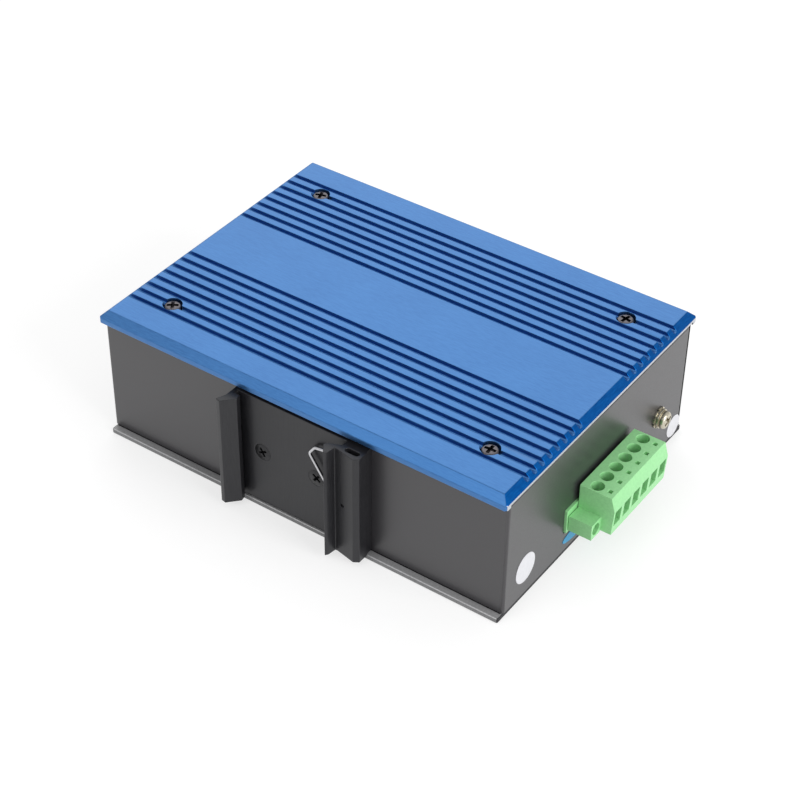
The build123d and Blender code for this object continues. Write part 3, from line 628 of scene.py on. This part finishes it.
# Painted highlight: a paler copy of the coat for the plate's upper edge.
painted_highlight_edge = worked_surface(
    "painted highlight edge", colour=(0.560, 0.560, 0.565), shade=(0.400, 0.400, 0.405),
    metallic=0.2, roughness=0.36, grain=1800.0, bump=0.2,
)


def base_plate_finish(face):
    """Painted shadow black in the seam and on the ends, painted shade on the sides and a painted highlight
    on the upper edge.
    """
    into_seam = face.center.y - rail_wall
    beside_seam = -seam_check < into_seam < plate_seam_width + seam_check
    below_top = face.center.z < sheet_foot - seam_check and face.normal.z > -mostly
    if abs(face.center.x) > end_zone or (beside_seam and below_top):
        return painted_shadow_black
    if abs(face.normal.z) < hardly:
        return painted_shade_side_coat
    if hardly <= face.normal.z < nearly:
        return painted_highlight_edge
    return None


base_plate = from_solid("base_plate", "bottom_cover", plate_ease)
plate_seam_low = (-plate_seam_half, rail_wall, plate_seam_floor)
plate_seam_high = (plate_seam_half, rail_wall + plate_seam_width, seam_top)
cut_with(base_plate, square_bar("seam", plate_seam_low, plate_seam_high))
dressed(base_plate, lip_coat, "bottom_cover")
finished_by_face(base_plate, (painted_shade_side_coat, painted_highlight_edge, painted_shadow_black), base_plate_finish)

# Port panel: the fourth side, one sheet of the same coated steel, its laps turned in inside the ends.
# It has a window for each pair of ports and for each status light.
# A thin black seam stands for the shadow line where it meets each end.
corner_seam_inner = 70.3 * MM
corner_seam_outer = 71.5 * MM
corner_seam_near = 48.5 * MM
corner_seam_far = 49.05 * MM


def port_panel_finish(face):
    """Painted shadow black in the seams beside the ends."""
    in_seam = abs(face.center.x) > end_zone and face.center.y < corner_seam_far + seam_check
    return painted_shadow_black if in_seam else None


port_panel = from_solid("port_panel", "front_panel", sheet_ease)
for side in (-1, 1):
    left_x, right_x = sorted((side * corner_seam_inner, side * corner_seam_outer))
    seam_low = (left_x, corner_seam_near, 0.0)
    seam_high = (right_x, corner_seam_far, cover_foot)
    cut_with(port_panel, square_bar("seam", seam_low, seam_high))
dressed(port_panel, grey_coat, "front_panel")
finished_by_face(port_panel, (painted_shadow_black,), port_panel_finish)

# Rail clip: one length of black anodised extrusion with a hooked jaw and a slotted block.
# It is sawn to length, so its ends show the section, and a small dimple is punched in its block.
clip_ease = 0.20 * MM
stake_radius = 0.65 * MM
stake_depth = 2.0 * MM
stake_floor = -55.7 * MM
stake_x = 20.6 * MM
stake_z = 20.75 * MM
clip_black = worked_surface(
    "black anodised aluminium", colour=(0.022, 0.022, 0.025), shade=(0.014, 0.014, 0.017),
    metallic=0.20, roughness=0.36, grain=3000.0, bump=0.3, lie=(1.0, 1.0, 0.08),
)
rail_clip = from_solid("rail_clip", "din_clip", clip_ease)
stake_punch = round_bar("stake punch", stake_radius, 0.0, stake_depth, sides=24)
stake_facing = Matrix.Rotation(pi / 2, 4, "X")
stake_punch.data.transform(set_down((stake_x, stake_floor, stake_z), spin=0.0, facing=stake_facing))
cut_with(rail_clip, stake_punch)
dressed(rail_clip, clip_black, "din_clip")

# Clip screws: two blackened steel flat heads with a cross recess, flush with the clip's flat.
# They go through the clip into the rail wall, which is tapped for them.
flat_radius = 2.8 * MM
flat_depth = 1.7 * MM
flat_rim = 0.1 * MM
flat_rim_inset = 0.12 * MM
flat_cross_length = 3.2 * MM
flat_cross_width = 0.8 * MM
flat_cross_depth = 1.2 * MM
clip_flat = -51.5 * MM
clip_screw_z = 21.2 * MM
clip_screw_shank = 2.1 * MM
black_oxide = worked_surface(
    "black oxide steel", colour=(0.050, 0.050, 0.052), shade=(0.025, 0.025, 0.027),
    metallic=0.8, roughness=0.36, grain=3600.0, bump=0.2,
)


def flat_head(name, shank):
    """A flat head screw with its top at nought, its cone and its shank below."""
    profile = [(0.0, 0.0), (flat_radius - flat_rim_inset, 0.0), (flat_radius, -flat_rim)]
    tip = -flat_depth - shank
    profile += [(thread_radius, -flat_depth), (thread_radius, tip), (0.0, tip)]
    screw = turned(name, profile)
    for blade in cross_punch(0.0, flat_cross_length, flat_cross_width, flat_cross_depth):
        cut_with(screw, blade)
    return screw


towards_rail = Matrix.Rotation(pi / 2, 4, "X")
clip_screw_places = [
    set_down((-11.45 * MM, clip_flat, clip_screw_z), spin=0.5, facing=towards_rail),
    set_down((8.05 * MM, clip_flat, clip_screw_z), spin=0.9, facing=towards_rail),
]
flush_screws = repeated("flush_screws", flat_head("flat head", clip_screw_shank), clip_screw_places)
dressed(flush_screws, black_oxide, "clip_screws")

# Base screws: four dark nickel plated flat heads, flush with the underside of the base plate.
# They hold the plate to the lower posts, and the case stands flat over them.
downwards = Matrix.Rotation(pi, 4, "X")
base_screw_places = []
for i, (seat_x, seat_y) in enumerate(screw_seats):
    base_screw_places.append(set_down((seat_x, seat_y, 0.0), spin=0.4 + i, facing=downwards))
under_screws = repeated("under_screws", flat_head("flat head", 0.0), base_screw_places)
dressed(under_screws, black_nickel, "base_screws")

# Rail spring: a bright spring wire of one millimetre, bent round small pins.
# A leg stands in the block's slot, and a bow leans out over the clip's flat.
wire_radius = 0.5 * MM
wire_bend = 1.3 * MM
wire_bend_steps = 8
spring_route = [
    Vector(corner) * MM
    for corner in (
        (22.9, -54.41, 21.9), (22.9, -54.41, 0.9), (11.9, -52.7, 0.9), (15.8, -52.7, 17.5),
        (6.6, -52.7, 31.0), (8.6, -52.7, 33.8), (13.5, -52.7, 34.6),
    )
]
bright_wire = worked_surface(
    "bright spring wire", colour=(0.60, 0.60, 0.62), shade=(0.42, 0.42, 0.44),
    metallic=1.0, roughness=0.22, grain=5000.0, bump=0.2, lie=(1.0, 1.0, 0.2),
)


def bent_wire(name, route, radius, bend):
    """A round wire along straight runs, turned at each corner round a pin of the bend's radius."""
    most_of_run = 0.45
    track = [route[0]]
    for before, corner, after in zip(route, route[1:], route[2:]):
        back = before - corner
        ahead = after - corner
        half = back.angle(ahead) / 2
        reach = min(bend * cos(half) / sin(half), most_of_run * min(back.length, ahead.length))
        start = corner + back.normalized() * reach
        end = corner + ahead.normalized() * reach
        for step in range(wire_bend_steps + 1):
            t = step / wire_bend_steps
            track.append(start * (1 - t) ** 2 + corner * 2 * t * (1 - t) + end * t ** 2)
    track.append(route[-1])
    line = bpy.data.curves.new(name, "CURVE")
    line.dimensions = "3D"
    line.bevel_depth = radius
    line.bevel_resolution = 5
    line.use_fill_caps = True
    run = line.splines.new("POLY")
    run.points.add(len(track) - 1)
    for point, place in zip(run.points, track):
        point.co = (*place, 1.0)
    holder = bpy.data.objects.new(name, line)
    bpy.context.scene.collection.objects.link(holder)
    ready = holder.evaluated_get(bpy.context.evaluated_depsgraph_get())
    shape = bpy.data.meshes.new_from_object(ready)
    bpy.data.objects.remove(holder)
    body = bmesh.new()
    body.from_mesh(shape)
    bmesh.ops.remove_doubles(body, verts=body.verts, dist=hair)
    return mesh_object(name, body)


rail_spring = bent_wire("rail_spring", spring_route, wire_radius, wire_bend)
dressed(rail_spring, bright_wire, "clip_spring")

# Power plug: moulded green polyamide with six driver holes, six probe holes and six wire windows.
# It is locked to the board header by a captive screw in the block at each side.
moulding_ease = 0.12 * MM
green_moulding = worked_surface(
    "green moulding", colour=(0.325, 0.720, 0.325), shade=(0.270, 0.640, 0.275),
    metallic=0.0, roughness=0.36, grain=1400.0, bump=0.12,
)
power_plug = from_solid("power_plug", "terminal_plug", moulding_ease)
dressed(power_plug, green_moulding, "terminal_plug")
board_header = from_solid("board_header", "terminal_header", moulding_ease)
dressed(board_header, green_moulding, "terminal_header")

# Clamp screws: six slotted steel screws, zinc plated, each deep in its driver hole.
# Turning one draws its wire cage up inside the plug.
driver_slot_width = 0.6 * MM
driver_slot_depth = 0.7 * MM
terminal_ways = 6
terminal_middle = 2.2 * MM
terminal_pitch = 5.08 * MM
clamp_radius = 1.85 * MM
clamp_chamfer = 0.25 * MM
zinc = worked_surface(
    "zinc plate", colour=(0.62, 0.62, 0.63), shade=(0.50, 0.50, 0.51),
    metallic=1.0, roughness=0.34, grain=2800.0, bump=0.15,
)


def slotted(name, profile):
    """A turned screw with its top at nought and a driver slot sawn across it."""
    screw = turned(name, profile, sides=40)
    saw_reach = 3.0 * MM
    saw_low = (-saw_reach, -driver_slot_width / 2, -driver_slot_depth)
    saw_high = (saw_reach, driver_slot_width / 2, tool_run_out)
    return cut_with(screw, square_bar("slot saw", saw_low, saw_high))


clamp_low, clamp_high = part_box("clamp_screws")
clamp_x = (clamp_low[0] + clamp_high[0]) / 2
clamp_depth = clamp_high[2] - clamp_low[2]
clamp_profile = [
    (0.0, 0.0), (clamp_radius - clamp_chamfer, 0.0), (clamp_radius, -clamp_chamfer),
    (clamp_radius, -clamp_depth), (0.0, -clamp_depth),
]
clamp_places = []
for way in range(terminal_ways):
    clamp_y = terminal_middle + (way - (terminal_ways - 1) / 2) * terminal_pitch
    clamp_places.append(set_down((clamp_x, clamp_y, clamp_high[2]), spin=0.35 * way))
driver_screws = repeated("driver_screws", slotted("slotted screw", clamp_profile), clamp_places)
dressed(driver_screws, zinc, "clamp_screws")

# Locking screws: two captive slotted screws in the plug's side blocks, zinc plated.
# They run through the plug into the header's flanges and keep the plug in.
lock_head_radius = 1.7 * MM
lock_head_height = 1.5 * MM
lock_chamfer = 0.2 * MM
lock_shank_radius = 1.25 * MM
lock_stand_off = 2.5 * MM
lock_offset = terminal_ways / 2 * terminal_pitch + lock_stand_off
lock_low, lock_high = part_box("locking_screws")
lock_z = (lock_low[2] + lock_high[2]) / 2
lock_reach = lock_high[0] - lock_low[0]
lock_profile = [
    (0.0, 0.0), (lock_head_radius - lock_chamfer, 0.0), (lock_head_radius, -lock_chamfer),
    (lock_head_radius, -lock_head_height), (lock_shank_radius, -lock_head_height),
    (lock_shank_radius, -lock_reach), (0.0, -lock_reach),
]
towards_wires = Matrix.Rotation(pi / 2, 4, "Y")
lock_places = []
for side in (-1, 1):
    lock_y = terminal_middle + side * lock_offset
    lock_places.append(set_down((lock_high[0], lock_y, lock_z), spin=0.6 * side, facing=towards_wires))
lock_screws = repeated("lock_screws", slotted("slotted screw", lock_profile), lock_places)
dressed(lock_screws, zinc, "locking_screws")

# Ground point: a nickel plated pan head over a split spring washer and a toothed washer.
# It is modelled as M3 and screwed into the terminal end, to hold the ring of an earth wire.
washer_ease = 0.05 * MM
ground_stack = 1.5 * MM
ground_y = 34.3 * MM
ground_z = 16.8 * MM
earth_shank = 6.9 * MM
warm_nickel = worked_surface(
    "warm nickel plate", colour=(0.66, 0.62, 0.51), shade=(0.50, 0.46, 0.36),
    metallic=1.0, roughness=0.32, grain=1800.0, bump=0.06,
)
earth_seat = (case_end + ground_stack, ground_y, ground_z)
earth_place = set_down(earth_seat, spin=0.5, facing=towards_wires)
earth_screw = repeated("earth_screw", pan_head("pan head", earth_shank), [earth_place])
dressed(earth_screw, warm_nickel, "ground_screw")
for piece_name, washer in (("tooth-washer", "tooth_washer"), ("spring-washer", "spring_washer")):
    dressed(from_solid(piece_name, washer, washer_ease), warm_nickel, washer)

# Labels: two thin discs cut from matt white film and an oval cut from light blue film.
# They are stuck to the terminal end and left blank.
white_film = worked_surface(
    "white film", colour=(0.70, 0.70, 0.73), shade=(0.64, 0.64, 0.67),
    metallic=0.0, roughness=0.50, grain=900.0, bump=0.1,
)
blue_film = worked_surface(
    "light blue film", colour=(0.020, 0.300, 0.560), shade=(0.016, 0.260, 0.500),
    metallic=0.0, roughness=0.40, grain=900.0, bump=0.1,
)


def finished(node, finish):
    """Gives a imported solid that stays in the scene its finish."""
    nodes[node].data.materials.clear()
    nodes[node].data.materials.append(finish)


finished("round_label", white_film)
finished("ground_label", white_film)
finished("oval_label", blue_film)

# Port side: four black moulded housings of two ports each, in thin shells of tinned steel.
# Gilt wires spring up inside each port, and clear guides lead the board's lights to the front.
black_moulding = worked_surface(
    "black moulding", colour=(0.022, 0.022, 0.024), shade=(0.015, 0.015, 0.017),
    metallic=0.0, roughness=0.42, grain=1500.0, bump=0.2,
)
shell_tin = worked_surface(
    "tinned shell", colour=(0.60, 0.60, 0.60), shade=(0.48, 0.48, 0.48),
    metallic=1.0, roughness=0.30, grain=2500.0, bump=0.15, lie=(1.0, 1.0, 0.1),
)
gilt = worked_surface(
    "gilt wire", colour=(0.85, 0.62, 0.24), shade=(0.70, 0.50, 0.18),
    metallic=1.0, roughness=0.25, grain=3000.0, bump=0.1,
)
clear_guide = worked_surface(
    "clear light guide", colour=(0.80, 0.84, 0.82), shade=(0.74, 0.78, 0.76),
    metallic=0.0, roughness=0.16, grain=1200.0, bump=0.05,
)
clear_guide.node_tree.nodes["Principled BSDF"].inputs["Transmission Weight"].default_value = 0.6
for stack in range(1, 5):
    finished(f"port_stack_{stack}", black_moulding)
finished("port_shields", shell_tin)
finished("port_contacts", gilt)
finished("port_lights", clear_guide)
finished("status_lights", clear_guide)

# Inside: the circuit board with its large parts, which shows only through the ports.
# It is screwed between brass posts, and a milled block between two soft pads leads the chip's
# heat up to the cover.
board_green = worked_surface(
    "solder resist", colour=(0.030, 0.160, 0.070), shade=(0.020, 0.120, 0.050),
    metallic=0.0, roughness=0.35, grain=700.0, bump=0.2,
)
brass = worked_surface(
    "turned brass", colour=(0.70, 0.53, 0.24), shade=(0.58, 0.43, 0.18),
    metallic=1.0, roughness=0.30, grain=3000.0, bump=0.15, lie=(1.0, 1.0, 0.1),
)
chip_black = worked_surface(
    "matt chip", colour=(0.018, 0.018, 0.020), shade=(0.012, 0.012, 0.014),
    metallic=0.0, roughness=0.55, grain=1600.0, bump=0.2,
)
gap_pad = worked_surface(
    "soft gap pad", colour=(0.30, 0.36, 0.46), shade=(0.26, 0.31, 0.40),
    metallic=0.0, roughness=0.70, grain=1200.0, bump=0.3,
)
bare_aluminium = worked_surface(
    "milled aluminium", colour=(0.70, 0.71, 0.72), shade=(0.60, 0.61, 0.62),
    metallic=1.0, roughness=0.30, grain=3000.0, bump=0.2, lie=(0.1, 1.0, 1.0),
)
ferrite = worked_surface(
    "sintered ferrite", colour=(0.060, 0.060, 0.062), shade=(0.040, 0.040, 0.042),
    metallic=0.0, roughness=0.62, grain=1400.0, bump=0.3,
)
inner_finishes = {
    "main_board": board_green, "lamp_board": board_green, "status_lamps": clear_guide,
    "upper_posts": brass, "lower_posts": brass, "header_pins": zinc, "wire_clamps": zinc,
    "plug_contacts": gilt, "switch_chip": chip_black, "controllers": chip_black,
    "magnetics": chip_black, "chip_pad": gap_pad, "cover_pad": gap_pad,
    "heat_block": bare_aluminium, "chokes": ferrite, "capacitors": black_moulding,
    "alarm_relay": black_moulding, "input_fuse": black_moulding,
}
for inner_node, inner_finish in inner_finishes.items():
    finished(inner_node, inner_finish)
